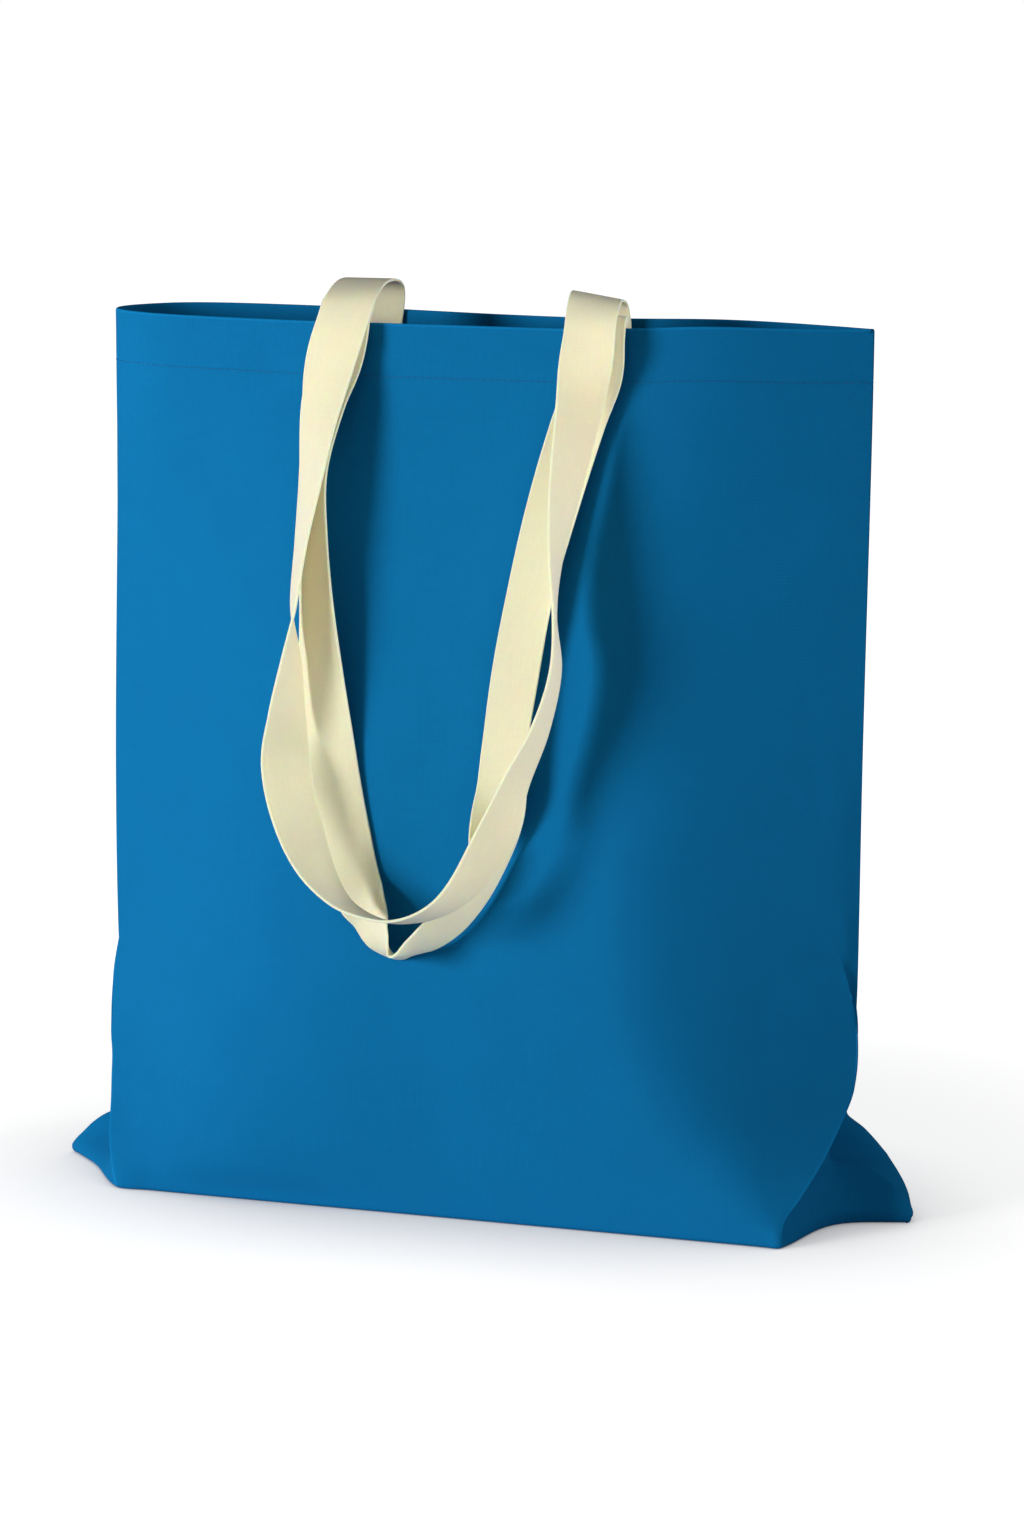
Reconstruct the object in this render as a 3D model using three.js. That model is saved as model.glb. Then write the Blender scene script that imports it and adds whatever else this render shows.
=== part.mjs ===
// Cotton tote bag standing on its spread base, both tape handles hanging down the front.
// Millimetres, +Z up, front panel faces -Y, origin at the middle of the base on the floor.
import * as THREE from "three";

const HEIGHT = 428; // floor to rim
const CLOTH = 0.9; // one layer of canvas
const HEM_DEPTH = 25; // mouth turned in this far
const HEM_LAYERS = 1.9; // canvas and turned-in hem together
const TAPE_WIDTH = 25;
const TAPE_THICKNESS = 1.6;
const BASE_EDGE_INSET = 2.5; // rounding of the fold round the base
const FLOOR_EDGE_INSET = 2.4; // the inside of the base starts this far in
const SEAM_STOP = 3; // the inside ends this far short of a side seam
const FOLD_LIMIT = 0.28; // keeps the inside of a tight fold from running far in
const FLAPS_FROM = 50; // heights between which the sides are pressed flat
const FLAPS_TO = 125;
const FLAP_ROOT = 2; // the inside ends this far within the root of a flap
const HEM_SEAM_STOP = 4.5; // and this far within the hem
const RIM_STARTS = 190; // below this height the mouth's own shape has no effect
const LEFT_FULLNESS = 5; // the left side stands out this much more half way up
const POINTS_PER_SPAN = 4;
const TAPE_STEPS = 3;

const BLUE = 0x1172b0;
const CREAM = 0xf1e6c6;

// Ribs of the bag, each a line that runs up the cloth: height, distance out from the middle, depth.
const seamRight = [
  [0, 215, 0], [5, 217.5, 0], [11, 215, 0], [16, 210, 0], [21, 203.5, 0], [25, 196, 0], [26.5, 190, 0],
  [28, 180, 0], [30, 175, 0], [36, 172, 0], [46, 172.5, 0], [62, 178, 0], [80, 185, 0], [100, 188, 0],
  [130, 188.7, 0], [428, 190, 0],
];
const seamLeft = [
  [0, 219, 0], [3, 221, 0], [7, 218, 0], [11, 213.5, 0], [15.5, 208.5, 0], [19, 203.5, 0], [22, 197, 0],
  [25, 188, 0], [28, 180, 0], [33, 174, 0], [46, 172.5, 0], [62, 178, 0], [80, 185, 0], [100, 188, 0],
  [130, 188.7, 0], [428, 190, 0],
];
const sideAboveEars = [
  [70, 183.5, 3.6], [84, 184.5, 2.6], [100, 185.5, 2.2], [130, 184, 3.3], [200, 180, 5.5], [428, 178, 5],
];
const earFrontRight = [
  [0, 187, 19], [7, 189, 21], [16, 184.5, 14.5], [24, 181, 9.5], [30, 177.5, 8.5], [38, 177, 10],
  [48, 179.5, 9.5], [58, 181.5, 6.5], ...sideAboveEars,
];
const earBackRight = [
  [0, 206, 21], [5, 209, 19], [9, 211, 17], [14, 209, 18], [22, 203, 20], [31, 195.5, 20], [40, 188.5, 17],
  [48, 180.5, 14], [58, 181, 8.5], ...sideAboveEars,
];
const earLeft = [
  [0, 200, 27], [6, 199, 25], [12, 195, 22], [18, 189, 19], [24, 183, 15], [30, 179, 12], [38, 177.5, 11],
  [48, 179.5, 9.5], [58, 181.5, 6.5], ...sideAboveEars,
];
const creaseFront = [
  [0, 169, 63], [6, 168.5, 62], [10, 168.5, 60], [22, 174.5, 50], [29, 178, 42], [37, 181.5, 33],
  [47, 185, 24], [56, 187.7, 16], [66, 190, 10], [78, 190.6, 6], [92, 190, 4.2], [130, 181, 8.5],
  [200, 168, 12.5], [428, 160, 11],
];
const creaseBack = [
  [0, 165, 63], [10, 163.5, 60], [22, 164.5, 52], [29, 165.5, 45], [37, 167, 36], [47, 170, 26],
  [56, 175.5, 17], [66, 181.5, 10.5], [78, 186, 6], [92, 188, 4.2], [130, 181, 8.5], [200, 168, 12.5],
  [428, 160, 11],
];
const ridge = [
  [0, 152, 63], [15, 149, 62.6], [30, 140, 61.6], [60, 118, 60], [95, 101, 58], [150, 90, 55],
  [250, 86, 48], [350, 86, 41], [428, 86, 36],
];
const middle = [
  [0, 0, 63], [30, 0, 64], [95, 0, 60.5], [150, 0, 57], [250, 0, 50], [350, 0, 43], [428, 0, 38.5],
];

// Ribs in order round the bag: profile, side of X, side of Y, where the rib ends at the mouth, kind.
const ribs = [
  { profile: seamLeft, sideX: -1, sideY: -1, rim: [-190, 2], kind: "round seam" },
  { profile: earLeft, sideX: -1, sideY: -1, rim: [-184, -12], kind: "soft" },
  { profile: creaseFront, sideX: -1, sideY: -1, rim: [-165, -24], kind: "crease" },
  { profile: ridge, sideX: -1, sideY: -1, rim: [-95, -37], kind: "soft" },
  { profile: middle, sideX: 0, sideY: -1, rim: [2, -39], kind: "soft" },
  { profile: ridge, sideX: 1, sideY: -1, rim: [84, -37], kind: "soft" },
  { profile: creaseFront, sideX: 1, sideY: -1, rim: [122, -28], kind: "crease" },
  { profile: earFrontRight, sideX: 1, sideY: -1, rim: [156, -12], kind: "soft" },
  { profile: seamRight, sideX: 1, sideY: 1, rim: [191, 5], kind: "sharp seam" },
  { profile: earBackRight, sideX: 1, sideY: 1, rim: [158, 17], kind: "soft" },
  { profile: creaseBack, sideX: 1, sideY: 1, rim: [118, 21], kind: "crease" },
  { profile: ridge, sideX: 1, sideY: 1, rim: [74, 5], kind: "soft" },
  { profile: middle, sideX: 0, sideY: 1, rim: [8, 20], kind: "soft" },
  { profile: ridge, sideX: -1, sideY: 1, rim: [-85, 40], kind: "soft" },
  { profile: creaseBack, sideX: -1, sideY: 1, rim: [-165, 41], kind: "crease" },
  { profile: earLeft, sideX: -1, sideY: 1, rim: [-185, 25], kind: "soft" },
];

const wallHeights = [
  5, 10, 16, 21, 25, 27, 28.5, 31, 36, 44, 54, 66, 80, 97, 120, 155, 205, 265, 325, 375, HEIGHT - HEM_DEPTH,
];

// Handles: middle of the tape, then the direction across it from one edge to the other.
const backHandleRoute = [
  [-64, 32.6, 402, 0.98, -0.2, 0], [-64, 32.4, 418, 0.98, -0.2, 0], [-63, 31, 429, 0.99, -0.14, 0],
  [-60, 22, 439.6, 1, 0, 0], [-57, 4, 444.6, 1, 0.05, 0], [-54, -22, 444.8, 1, 0.1, 0],
  [-52.6, -40, 438.8, 0.98, 0.18, 0.03], [-54.2, -48.8, 426.6, 0.99, 0.12, 0.03],
  [-58.2, -52.5, 410.2, 1, 0, 0.06], [-62.2, -57, 383.4, 0.88, -0.46, 0.12],
  [-65.6, -61, 353.6, 0.71, -0.69, 0.17], [-69, -65.1, 324.4, 0.54, -0.82, 0.18],
  [-71.7, -68.9, 293.8, 0.41, -0.89, 0.18], [-71.7, -71.8, 272.6, 0.03, -0.98, 0.18],
  [-73.1, -74.6, 244.1, -0.41, -0.9, 0.14], [-72.4, -77.9, 219.2, -0.78, -0.62, 0.06],
  [-65.5, -81.6, 194.2, -0.72, -0.68, 0.08], [-52.7, -86.5, 169.8, -0.41, -0.9, 0.14],
  [-38.1, -91.3, 157.1, 0.01, -0.99, 0.12], [-14.7, -96.6, 152.3, 0.31, -0.93, 0.22],
  [4.5, -96.7, 156.8, 0.09, -0.93, 0.35], [19.8, -92, 168.6, -0.24, -0.89, 0.38],
  [34.6, -87.1, 193.2, -0.43, -0.77, 0.48], [43.6, -82.7, 219.3, -0.17, -0.91, 0.38],
  [54.4, -78.5, 245, 0, -0.95, 0.3], [60.9, -75.3, 272.9, 0.11, -0.98, 0.18],
  [59.3, -72, 298.2, 0.25, -0.95, 0.19], [58.8, -69, 322.6, 0.07, -0.98, 0.18],
  [62.1, -64.3, 357.2, -0.34, -0.93, 0.15], [66.6, -56.5, 396, -0.72, -0.69, 0.08],
  [69, -52, 421.4, -0.98, -0.12, 0.04], [68.9, -47.2, 433.4, -0.98, 0.06, 0.08],
  [67.2, -36, 440.8, -0.98, 0.06, 0.14], [63.6, -18, 441.6, -0.98, -0.02, 0.15],
  [62.2, -5, 437.4, -0.98, 0.1, 0.08], [62, 1.1, 428, -0.98, 0.17, 0], [62, 2.3, 418, -0.98, 0.18, 0],
  [62, 2.7, 402, -0.98, 0.18, 0],
];
const frontHandleRoute = [
  [-57, -36.1, 402, 1, 0, 0], [-57, -36, 418, 1, 0, 0], [-57, -34.6, 428, 1, 0.02, 0],
  [-56.4, -32, 434.4, 1, 0.05, 0], [-55.6, -34.4, 437.6, 1, 0.1, 0], [-55, -40, 433.8, 0.99, 0.12, 0.02],
  [-54.8, -44.2, 423, 0.99, 0.1, 0.02], [-57.4, -46, 409, 0.99, 0, 0.04],
  [-62.9, -48.5, 391.7, 0.98, -0.2, 0.09], [-66.6, -53.6, 358.8, 0.78, -0.61, 0.16],
  [-65.9, -56.7, 325.8, 0.79, -0.59, 0.15], [-63.8, -58, 292.5, 0.87, -0.48, 0.14],
  [-61, -58.5, 254.2, 0.99, -0.13, 0.08], [-56.5, -59.6, 220.7, 0.97, 0.23, 0.02],
  [-50.2, -60.6, 188.2, 0.97, 0.24, 0.01], [-42.5, -63.4, 160.2, 0.98, 0.15, 0.13],
  [-34.8, -67.1, 148.8, 0.9, -0.39, 0.18], [-28.3, -70.9, 138.1, 0.72, -0.65, 0.24],
  [-18.9, -72.8, 130.3, 0.3, -0.93, 0.21], [-8.2, -72.7, 135.8, 0.05, -0.87, 0.49],
  [3.9, -72, 146, -0.13, -0.77, 0.63], [15.9, -70.4, 159.6, -0.23, -0.8, 0.55],
  [24.9, -68.4, 178.1, -0.42, -0.76, 0.5], [28, -65.7, 193.9, -0.84, -0.51, 0.16],
  [30.1, -62.7, 209.8, -1, -0.04, 0.02], [30.5, -59.6, 229.7, -0.97, 0.22, -0.1],
  [34.8, -56, 266.1, -0.98, 0.17, -0.09], [42.2, -53, 308.8, -0.97, 0.2, -0.09],
  [52.9, -50, 351.3, -1, -0.06, -0.05], [63.5, -47.5, 386.6, -0.97, -0.25, -0.01],
  [70.9, -45.6, 408.1, -0.96, -0.27, -0.01], [71.2, -43.4, 424.6, -0.97, -0.2, 0.02],
  [70.8, -39.6, 432.4, -0.98, -0.18, 0.08], [70.2, -35.6, 434.4, -0.98, -0.16, 0.08],
  [69.4, -33.1, 428, -0.98, -0.16, 0.02], [69, -33.6, 418, -0.98, -0.16, 0],
  [69, -33.8, 402, -0.98, -0.16, 0],
];

function clamp01(value) {
  return Math.min(1, Math.max(0, value));
}

function easeInOut(value) {
  const t = clamp01(value);
  return t * t * (3 - 2 * t);
}

function hermite(start, startSlope, end, endSlope, t) {
  const back = 1 - t;
  return (1 + 2 * t) * back * back * start + t * back * back * startSlope
    + t * t * (3 - 2 * t) * end - t * t * back * endSlope;
}

// Smooth curve through [at, value, value] rows that never overshoots them.
function profileAt(rows, at) {
  const place = Math.min(Math.max(at, rows[0][0]), rows[rows.length - 1][0]);
  const last = rows.length - 2;
  let row = 0;
  while (row < last && place > rows[row + 1][0]) {
    row += 1;
  }
  const step = (index) => rows[index + 1][0] - rows[index][0];
  const rise = (index, column) => (rows[index + 1][column] - rows[index][column]) / step(index);
  const slope = (index, column) => {
    if (index === 0 || index === rows.length - 1) {
      return rise(Math.min(index, last), column);
    }
    const before = rise(index - 1, column);
    const after = rise(index, column);
    if (before * after <= 0) {
      return 0;
    }
    const weightBefore = 2 * step(index) + step(index - 1);
    const weightAfter = step(index) + 2 * step(index - 1);
    return (weightBefore + weightAfter) / (weightBefore / before + weightAfter / after);
  };
  const width = step(row);
  const t = (place - rows[row][0]) / width;
  return [1, 2].map((column) => hermite(
    rows[row][column], width * slope(row, column),
    rows[row + 1][column], width * slope(row + 1, column), t,
  ));
}

function ribAt(rib, height) {
  const [out, depth] = profileAt(rib.profile, height);
  const [rimOut, rimDepth] = profileAt(rib.profile, HEIGHT);
  const fuller = rib.sideX < 0
    ? LEFT_FULLNESS * easeInOut(height / 90) * (1 - easeInOut((height - 130) / 298))
    : 0;
  const mouth = easeInOut((height - RIM_STARTS) / (HEIGHT - RIM_STARTS));
  return new THREE.Vector2(
    rib.sideX * (out + fuller) + mouth * (rib.rim[0] - rib.sideX * rimOut),
    rib.sideY * depth + mouth * (rib.rim[1] - rib.sideY * rimDepth),
  );
}

function sharpness(kind, height) {
  if (kind === "sharp seam") {
    return 1;
  }
  if (kind === "round seam") {
    return 1 - easeInOut((height - 250) / 150);
  }
  if (kind === "crease") {
    return 1 - easeInOut((height - 75) / 45);
  }
  return 0;
}

// One level section through every rib, creased where the cloth is creased.
function sectionAt(height) {
  const count = ribs.length;
  const knots = ribs.map((rib) => ribAt(rib, height));
  const chords = knots.map((knot, i) => knots[(i + 1) % count].clone().sub(knot));
  const lengths = chords.map((chord) => chord.length());
  const arrive = [];
  const leave = [];
  ribs.forEach((rib, i) => {
    const before = (i + count - 1) % count;
    const from = chords[before].clone().divideScalar(lengths[before]);
    const to = chords[i].clone().divideScalar(lengths[i]);
    const share = lengths[i] / (lengths[i] + lengths[before]);
    const smooth = from.clone().multiplyScalar(share).addScaledVector(to, 1 - share);
    const sharp = sharpness(rib.kind, height);
    arrive.push(smooth.clone().lerp(from, sharp));
    leave.push(smooth.clone().lerp(to, sharp));
  });
  const points = [];
  for (let i = 0; i < count; i += 1) {
    const next = (i + 1) % count;
    const long = lengths[i];
    for (let k = 0; k < POINTS_PER_SPAN; k += 1) {
      const t = k / POINTS_PER_SPAN;
      points.push(new THREE.Vector3(
        hermite(knots[i].x, long * leave[i].x, knots[next].x, long * arrive[next].x, t),
        hermite(knots[i].y, long * leave[i].y, knots[next].y, long * arrive[next].y, t),
        height,
      ));
    }
  }
  return points;
}

// Direction out of the cloth at each point of a ring, from its neighbours round it and above it.
function ringNormals(ring, below, above) {
  const count = ring.length;
  return ring.map((point, i) => {
    const round = ring[(i + 1) % count].clone().sub(ring[(i + count - 1) % count]);
    const up = above[i].clone().sub(below[i]);
    return round.cross(up).normalize();
  });
}

function movedIn(ring, normals, distance) {
  return ring.map((point, i) => point.clone().addScaledVector(normals[i], -distance));
}

// Inside of a ring of cloth: the distance grows at a fold, so both layers there keep their thickness.
function insideOf(ring, normals, distance) {
  const count = ring.length;
  return ring.map((point, i) => {
    const came = point.clone().sub(ring[(i + count - 1) % count]).normalize();
    const goes = ring[(i + 1) % count].clone().sub(point).normalize();
    const halfTurn = Math.sqrt(Math.max(0, (1 + came.dot(goes)) / 2));
    const growth = 1 / Math.max(halfTurn, FOLD_LIMIT);
    return point.clone().addScaledVector(normals[i], -distance * growth);
  });
}

// Keeps the inside of the front and the inside of the back apart where they run into a side seam.
function partedAtSeams(ring, outer, seamStop) {
  const half = ring.length / 2;
  const seamGap = 0.4;
  return ring.map((point, i) => {
    const seam = outer[point.x < 0 ? 0 : half];
    const side = i < half ? -1 : 1;
    const parted = point.clone();
    if (side * (point.y - seam.y) < seamGap) {
      parted.y = seam.y + side * seamGap;
    }
    if (i % half === 0) {
      parted.y = seam.y;
    }
    const stop = Math.abs(seam.x) - seamStop;
    if (Math.abs(seam.y - parted.y) < 2 * seamGap && Math.abs(parted.x) > stop) {
      const along = i % half === 0 ? 0 : 0.2 * Math.min(i % half, half - (i % half));
      parted.x = Math.sign(seam.x) * (stop - along);
    }
    return parted;
  });
}

// Above the ears the cloth is pressed into thin double flaps, so the inside runs straight past them.
function pastFlaps(inside, outer, height) {
  if (height < FLAPS_FROM || height > FLAPS_TO) {
    return inside;
  }
  const passed = inside.map((point) => point.clone());
  [[2, 1, 0], [6, 7, 8], [10, 9, 8], [14, 15, 16]].forEach(([crease, ear, seam]) => {
    const [tip, root, end] = [crease, ear, seam].map((rib) => outer[(rib * POINTS_PER_SPAN) % outer.length]);
    if (Math.abs(tip.x) < Math.abs(root.x) + 1) {
      return;
    }
    const rootOut = Math.abs(root.x) - FLAP_ROOT;
    const endOut = Math.abs(end.x) - SEAM_STOP;
    const step = Math.sign(ear - crease);
    for (let k = 0; k < 2 * POINTS_PER_SPAN; k += 1) {
      const share = k / POINTS_PER_SPAN;
      const past = Math.max(share - 1, 0);
      const out = rootOut + (Math.min(endOut, rootOut + 1) - rootOut) * past;
      const depth = share < 1 ? tip.y + (root.y - tip.y) * share : root.y + (end.y - root.y) * past;
      passed[crease * POINTS_PER_SPAN + step * k].set(Math.sign(root.x) * out, depth, height);
    }
    const corner = passed[(seam * POINTS_PER_SPAN) % outer.length];
    corner.set(Math.sign(root.x) * Math.min(endOut, rootOut + 1), end.y, height);
  });
  return passed;
}

function pushRing(positions, ring) {
  const first = positions.length / 3;
  ring.forEach((point) => positions.push(point.x, point.y, point.z));
  return first;
}

// Joins two rings by triangles. Each square leans the same way inside and outside, so a wall keeps its thickness.
function joinRings(faces, lower, upper, count, facesOut, leansBack = () => false) {
  for (let i = 0; i < count; i += 1) {
    const next = (i + 1) % count;
    const [a, b, c, d] = [lower + i, lower + next, upper + next, upper + i];
    const corners = leansBack(i) ? [a, b, d, b, c, d] : [a, b, c, a, c, d];
    if (!facesOut) {
      corners.reverse();
    }
    faces.push(...corners);
  }
}

function closeRing(faces, ring, first, facesUp) {
  const outline = ring.map((point) => new THREE.Vector2(point.x, point.y));
  THREE.ShapeUtils.triangulateShape(outline, []).forEach((triangle) => {
    const corners = triangle.map((corner) => first + corner);
    const [a, b, c] = triangle.map((corner) => outline[corner]);
    const turnsLeft = b.clone().sub(a).cross(c.clone().sub(a)) > 0;
    if (turnsLeft !== facesUp) {
      corners.reverse();
    }
    faces.push(...corners);
  });
}

function meshFrom(name, positions, faces, colour) {
  const geometry = new THREE.BufferGeometry();
  geometry.setAttribute("position", new THREE.Float32BufferAttribute(positions, 3));
  geometry.setIndex(faces);
  geometry.computeVertexNormals();
  const material = new THREE.MeshStandardMaterial({ color: colour, roughness: 0.9, metalness: 0 });
  const mesh = new THREE.Mesh(geometry, material);
  mesh.name = name;
  return mesh;
}

function makeBody() {
  const outerHeights = [0, 1.5, ...wallHeights, HEIGHT];
  const sections = outerHeights.map(sectionAt);
  const normals = sections.map((ring, i) => ringNormals(
    ring,
    sections[Math.max(i - 1, 0)],
    sections[Math.min(i + 1, sections.length - 1)],
  ));
  const level = (normal) => new THREE.Vector3(normal.x, normal.y, 0).normalize();
  const outer = sections.slice();
  outer[0] = movedIn(sections[0], normals[0].map(level), BASE_EDGE_INSET);
  outer[1] = movedIn(sections[1], normals[1].map(level), BASE_EDGE_INSET * 0.25);

  const inner = [];
  outerHeights.forEach((height, i) => {
    if (i < 2) {
      return;
    }
    const isHem = height >= HEIGHT - HEM_DEPTH;
    if (height < HEIGHT) {
      const lining = partedAtSeams(insideOf(sections[i], normals[i], CLOTH), sections[i], SEAM_STOP);
      inner.push(pastFlaps(lining, sections[i], height));
    }
    if (isHem) {
      const folded = movedIn(sections[i], normals[i].map(level), HEM_LAYERS);
      const hemRing = partedAtSeams(folded, sections[i], HEM_SEAM_STOP);
      hemRing.forEach((point) => {
        point.z = height;
      });
      inner.push(hemRing);
    }
  });
  const floorRing = movedIn(outer[1], normals[1].map(level), FLOOR_EDGE_INSET);
  floorRing.forEach((point) => {
    point.z = CLOTH;
  });
  inner.unshift(floorRing);

  const positions = [];
  const faces = [];
  const count = outer[0].length;
  const outerStarts = outer.map((ring) => pushRing(positions, ring));
  const innerStarts = inner.map((ring) => pushRing(positions, ring));
  outerStarts.slice(1).forEach((start, i) => joinRings(faces, outerStarts[i], start, count, true));
  innerStarts.slice(1).forEach((start, i) => joinRings(faces, innerStarts[i], start, count, false));
  joinRings(faces, outerStarts[outerStarts.length - 1], innerStarts[innerStarts.length - 1], count, true);
  closeRing(faces, outer[0], outerStarts[0], false);
  closeRing(faces, inner[0], innerStarts[0], true);
  return meshFrom("bag_body", positions, faces, BLUE);
}

// Smooth curve through the route's rows, spaced by the distance between them.
function routePoints(route, steps) {
  const reach = [];
  for (let i = 0; i + 1 < route.length; i += 1) {
    const gap = Math.hypot(...[0, 1, 2].map((axis) => route[i + 1][axis] - route[i][axis]));
    reach.push(Math.sqrt(gap));
  }
  const last = route.length - 1;
  const slope = (i, axis) => {
    const rise = (index) => (route[index + 1][axis] - route[index][axis]) / reach[index];
    if (i === 0 || i === last) {
      return rise(Math.min(i, last - 1));
    }
    return (rise(i - 1) * reach[i] + rise(i) * reach[i - 1]) / (reach[i] + reach[i - 1]);
  };
  const rows = [];
  for (let i = 0; i < last; i += 1) {
    for (let k = 0; k < steps; k += 1) {
      rows.push([0, 1, 2, 3, 4, 5].map((axis) => hermite(
        route[i][axis], reach[i] * slope(i, axis),
        route[i + 1][axis], reach[i] * slope(i + 1, axis), k / steps,
      )));
    }
  }
  rows.push(route[last]);
  return rows;
}

function makeHandle(name, route) {
  const rows = routePoints(route, TAPE_STEPS);
  const middles = rows.map((row) => new THREE.Vector3(row[0], row[1], row[2]));
  const positions = [];
  const faces = [];
  rows.forEach((row, i) => {
    const before = middles[Math.max(i - 1, 0)];
    const after = middles[Math.min(i + 1, rows.length - 1)];
    const along = after.clone().sub(before).normalize();
    const across = new THREE.Vector3(row[3], row[4], row[5]);
    across.addScaledVector(along, -across.dot(along)).normalize();
    const through = along.clone().cross(across);
    [[-1, -1], [1, -1], [1, 1], [-1, 1]].forEach(([side, face]) => {
      const corner = middles[i].clone();
      corner.addScaledVector(across, (side * TAPE_WIDTH) / 2);
      corner.addScaledVector(through, (face * TAPE_THICKNESS) / 2);
      positions.push(corner.x, corner.y, corner.z);
    });
  });
  for (let i = 0; i + 1 < rows.length; i += 1) {
    joinRings(faces, 4 * i, 4 * (i + 1), 4, true, (corner) => corner === 2);
  }
  const end = 4 * (rows.length - 1);
  faces.push(0, 2, 1, 0, 3, 2);
  faces.push(end, end + 1, end + 2, end, end + 2, end + 3);
  return meshFrom(name, positions, faces, CREAM);
}

const bag = new THREE.Group();
bag.name = "tote_bag";
bag.add(makeBody());
bag.add(makeHandle("front_handle", frontHandleRoute));
bag.add(makeHandle("back_handle", backHandleRoute));

export default bag;
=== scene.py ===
"""Cotton tote bag: the cloth, the tape handles and the sewing, on a plain pale floor."""
import math

import bpy
import numpy as np
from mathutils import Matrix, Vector, noise


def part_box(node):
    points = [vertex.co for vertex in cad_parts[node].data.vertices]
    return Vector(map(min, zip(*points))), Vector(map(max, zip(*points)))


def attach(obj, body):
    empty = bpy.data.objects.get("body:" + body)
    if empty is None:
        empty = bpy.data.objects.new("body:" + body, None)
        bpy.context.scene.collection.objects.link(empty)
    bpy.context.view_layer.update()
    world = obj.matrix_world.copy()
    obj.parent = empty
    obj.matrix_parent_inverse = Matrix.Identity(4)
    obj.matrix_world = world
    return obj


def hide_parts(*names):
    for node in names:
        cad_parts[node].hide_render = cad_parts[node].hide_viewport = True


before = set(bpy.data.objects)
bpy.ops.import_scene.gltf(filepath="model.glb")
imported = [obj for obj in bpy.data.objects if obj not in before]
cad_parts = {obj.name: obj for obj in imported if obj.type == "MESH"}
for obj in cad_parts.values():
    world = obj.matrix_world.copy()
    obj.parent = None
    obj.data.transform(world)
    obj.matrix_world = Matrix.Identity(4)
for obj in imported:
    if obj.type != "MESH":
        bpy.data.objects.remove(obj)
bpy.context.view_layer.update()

bl_info = {
    "name": "Cotton tote bag",
    "version": (1, 0, 0),
    "blender": (4, 5, 0),
    "location": "3D View > Sidebar > Tote bag",
    "description": "Makes a cotton tote bag with tape handles, its sewing and a small studio",
    "category": "Add Mesh",
}

MM = 0.001
HANDLE_GROUP = "handles"

# The photograph's view: turn and tilt in degrees, distance and aim in metres, lens in millimetres.
VIEW_TURN = 18.3
VIEW_TILT = 10.7
VIEW_DISTANCE = 2.2804
VIEW_AIM_SIDE = 0.014
VIEW_AIM_HEIGHT = 0.2095
VIEW_LENS = 110.0
SENSOR_WIDTH = 36.0

# Studio: sizes in metres. Lamps: name, turn and tilt in degrees, width, power setting, handles only.
FLOOR_REACH = 6.0
LAMP_DISTANCE = 3.0
LAMP_AIM_HEIGHT = 0.2
LAMPS = (
    ("key", -40.0, 9.0, 1.0, "key_power", False),
    ("side_fill", 96.0, 28.0, 1.4, "side_power", False),
    ("handle_fill", 65.0, 8.0, 1.1, "fill_power", True),
)

# Changes on the way up the bag: the height at which each starts and the height it takes. Millimetres.
FULLNESS_RISES = (0.0, 90.0)
FULLNESS_FADES = (130.0, 298.0)
SEAM_OPENS = (250.0, 150.0)
CREASE_CLOSES = (4.0, 20.0)
CREASE_OPENS = (75.0, 45.0)
BEND_OPENS = (200.0, 200.0)
SMOOTHING_GROWS = (140.0, 180.0)
SLACK_GROWS = (0.0, 40.0)
# The painted highlight along the creases fades out here.
HIGHLIGHT_FADES = (90.0, 40.0)
# Fullness of the left side in millimetres, then how sharp a crease is at the floor and a bend below.
LEFT_FULLNESS = 5.0
CREASE_AT_FLOOR = 0.2
BEND_SHARPNESS = 0.95

# Smoothing: columns beside a soft bend and passes over them, then the upper cloth in millimetres.
BEND_COLUMNS = 14
BEND_PASSES = 26
SMOOTH_STEP = 1.5
SMOOTH_SAMPLES = 30
SMOOTH_REACH = 15.0

# Slack of the cloth. Waves: height and length in millimetres, then a number that sets the pattern.
WIDE_WAVE = (0.7, 85.0, 1)
SMALL_WAVE = (0.22, 31.0, 2)
STILL_COLUMNS = 9.0
FRONT_VALLEY = ((-76, 432), (-152, 338), 15.0, 1.5)

# Rim, hem, seams and base, in millimetres.
RIM_STARTS = 190.0
RIM_LIFT = 1.8
RIM_LIFT_AT = 118.0
RIM_LIFT_REACH = 34.0
RIM_LIFT_SHARE = 0.3
BACK_RIM_LIFT = 1.5
BACK_RIM_LIFT_AT = 85.0
BACK_RIM_LIFT_REACH = 60.0
RIM_RADIUS = 1.05
RIM_RISE = 0.35
HEM_DENT = 0.1
HEM_DENT_WIDTH = 0.8
SEAM_GAP = 0.4
SEAM_STOP = 3.0
SEAM_STEP = 0.1
# Width of the painted highlight along a crease.
HIGHLIGHT_WIDTH = 0.8
BASE_ROUND = 2.5
BASE_STRIPS = 16

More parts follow.
